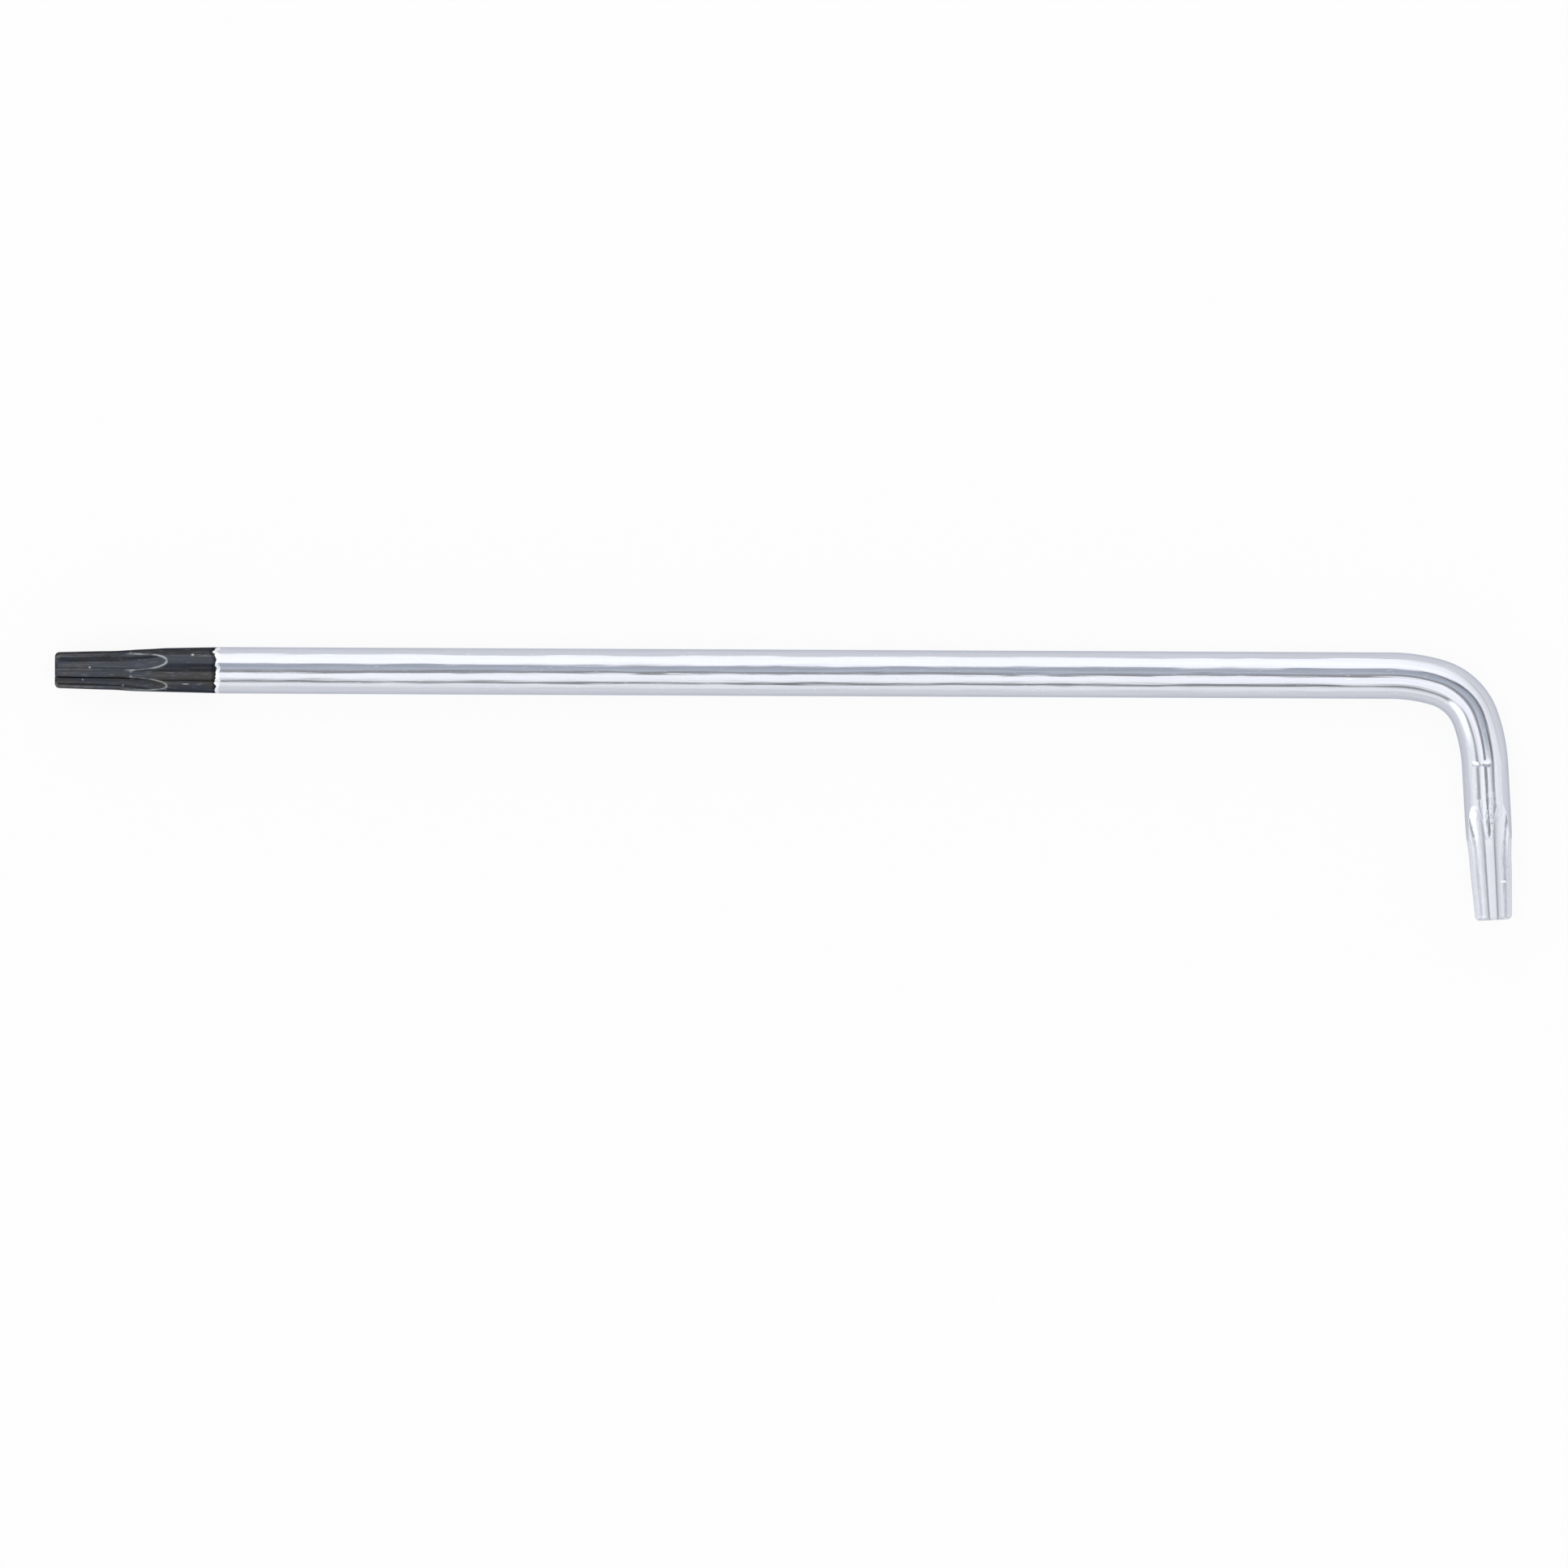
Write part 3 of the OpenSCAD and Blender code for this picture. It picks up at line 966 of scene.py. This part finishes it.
class STARKEY_OT_bar(Operator):
    """Make the plated bar: the long arm, the bend and the short arm"""

    bl_idname = "starkey.bar"
    bl_label = "Plated bar"

    def execute(self, context):
        key = context.scene.star_key
        bar = key.bar
        axis = BarAxis(bar)
        bar_start = tip_length(bar, key.star, key.long_tip)
        bar_end = axis.end - tip_length(bar, key.star, key.short_tip)
        bend_start, bend_end = axis.bend_start, axis.bend_end
        nick = bend_end - bar.nick_place
        nick_zone = NICK_ZONE * bar.nick_before
        long_marks = [bar_start, bar_start + bar.lip_length, bend_start]
        bend_marks = [bend_start, bend_start + END_STEP, nick - nick_zone, bend_end - END_STEP, bend_end]
        short_marks = [bend_end, nick + nick_zone, bar_end]
        stretches = {
            "long_shank": ("long_arm", stations(long_marks, [bar.lip_length / LIP_STEPS, LONG_STEP])),
            "bend": ("elbow", stations(bend_marks, [END_STEP, BEND_STEP, NICK_STEP, END_STEP])),
            "short_shank": ("short_arm", stations(short_marks, [NICK_STEP, SHORT_STEP])),
        }
        tree = bar_tree()
        inputs = {
            "Sides": bar.sides,
            "Axis height": axis.start.z,
            "Nick place": nick,
            "Nick aside": bar.nick_aside,
            "Nick depth": bar.nick_depth,
            "Nick before": bar.nick_before,
            "Nick after": bar.nick_after,
            "Nick reach": bar.nick_reach,
            "Nick spacing": bar.nick_spacing,
            "Nick shallow": bar.nick_shallow,
            "Material": plating_material(key),
        }
        for name, (node, distances) in stretches.items():
            radii = [self.radius_at(bar, distance - bar_start) for distance in distances]
            finished_piece(name, path_mesh(axis, distances, radii), tree, inputs, node, "plating")
        return {"FINISHED"}

    @staticmethod
    def radius_at(bar, distance):
        """The bar's radius, which is rounded down to the black tip over the plating's lip."""
        inside = max(0, 1 - distance / bar.lip_length)
        return bar.diameter / 2 - bar.lip_depth * (1 - math.sqrt(1 - inside ** 2))


class STARKEY_OT_star_tips(Operator):
    """Make the two star tips: the black one on the long arm and the plated one on the short arm"""

    bl_idname = "starkey.star_tips"
    bl_label = "Star tips"

    def execute(self, context):
        key = context.scene.star_key
        tree = star_tip_tree()
        black = self.tip_inputs(key, key.long_tip, "long_star")
        black.update({
            "Collar radius": key.bar.diameter / 2 - key.bar.lip_depth,
            "Bar place": 0.0,
            "Direction": 1.0,
            "Material": black_material(key),
        })
        plated = self.tip_inputs(key, key.short_tip, "short_star")
        plated.update({
            "Collar radius": key.bar.diameter / 2,
            "Bar place": BarAxis(key.bar).end,
            "Direction": -1.0,
            "Material": plating_material(key),
        })
        for name, inputs, node, slot in (
            ("black_star_tip", black, "long_star_tip", "black_finish"),
            ("plated_star_tip", plated, "short_star_tip", "plating"),
        ):
            finished_piece(name, bpy.data.meshes.new("base"), tree, inputs, node, slot)
        return {"FINISHED"}

    @staticmethod
    def tip_inputs(key, tip, mount):
        """Sizes of a star tip, which starts at its mount and runs back along the mount's axis."""
        star = key.star
        back = -mount_axis(mount)
        return {
            "Crest radius": star.across / 2,
            "Root radius": star.root / 2,
            "Lobe radius": star.lobe_radius,
            "Flute radius": flute_radius(star),
            "Run-out radius": star.runout_radius,
            "Nose radius": star.nose_radius,
            "Flute length": tip.flute_length,
            "Tip length": tip_length(key.bar, star, tip),
            "Edge rounding": star.edge_round,
            "Wear width": star.wear_width,
            "Corner wear": star.corner_wear,
            "Crest turn": crest_turn(star),
            "Meeting angle": meeting_angle(star),
            "Star slope": math.tan(tip.star_taper),
            "Collar slope": math.tan(tip.collar_taper),
            "Turn": -tip.turn,
            "Heading": math.atan2(back.y, back.x),
            "End": mount_place(mount),
        }


class STARKEY_OT_stage(Operator):
    """Make the stage: the white floor, the light tent and the camera overhead"""

    bl_idname = "starkey.stage"
    bl_label = "Stage"

    def execute(self, context):
        scene = context.scene
        studio = scene.star_key.studio
        half = studio.floor_width / 2
        corners = [(-half, -half, 0), (half, -half, 0), (half, half, 0), (-half, half, 0)]
        mesh = bpy.data.meshes.new("floor")
        mesh.from_pydata(corners, [], [(0, 1, 2, 3)])
        mesh.materials.append(floor_material(studio))
        floor = bpy.data.objects.new("floor", mesh)
        scene.collection.objects.link(floor)
        scene.world = tent_light(studio)
        lens = bpy.data.cameras.new("camera")
        lens.type = "ORTHO"
        lens.ortho_scale = studio.view_width
        camera = bpy.data.objects.new("camera", lens)
        camera.location = (studio.view_x, studio.view_y, studio.camera_height)
        camera.rotation_euler = (0, 0, studio.view_turn)
        scene.collection.objects.link(camera)
        scene.camera = camera
        scene.view_settings.view_transform = "Standard"
        return {"FINISHED"}


class STARKEY_PT_panel(Panel):
    """The key's settings and the operators that make its pieces"""

    bl_idname = "STARKEY_PT_panel"
    bl_label = "Star key"
    bl_space_type = "VIEW_3D"
    bl_region_type = "UI"
    bl_category = "Star key"

    def draw(self, context):
        key = context.scene.star_key
        for group in StarKey.__annotations__:
            settings = getattr(key, group)
            box = self.layout.box()
            box.label(text=key.bl_rna.properties[group].name)
            for name in settings.__annotations__:
                box.prop(settings, name)
        for operator in OPERATORS:
            self.layout.operator(operator.bl_idname)


OPERATORS = (STARKEY_OT_bar, STARKEY_OT_star_tips, STARKEY_OT_stage)
CLASSES = (
    BarSizes, StarSizes, LongTipSizes, ShortTipSizes, Finishes, Studio, StarKey,
    *OPERATORS, STARKEY_PT_panel,
)


def register():
    for each in CLASSES:
        bpy.utils.register_class(each)
    bpy.types.Scene.star_key = PointerProperty(type=StarKey)


def unregister():
    del bpy.types.Scene.star_key
    for each in reversed(CLASSES):
        bpy.utils.unregister_class(each)


def main():
    register()
    bpy.ops.starkey.bar()
    bpy.ops.starkey.star_tips()
    bpy.ops.starkey.stage()


if __name__ == "__main__":
    main()
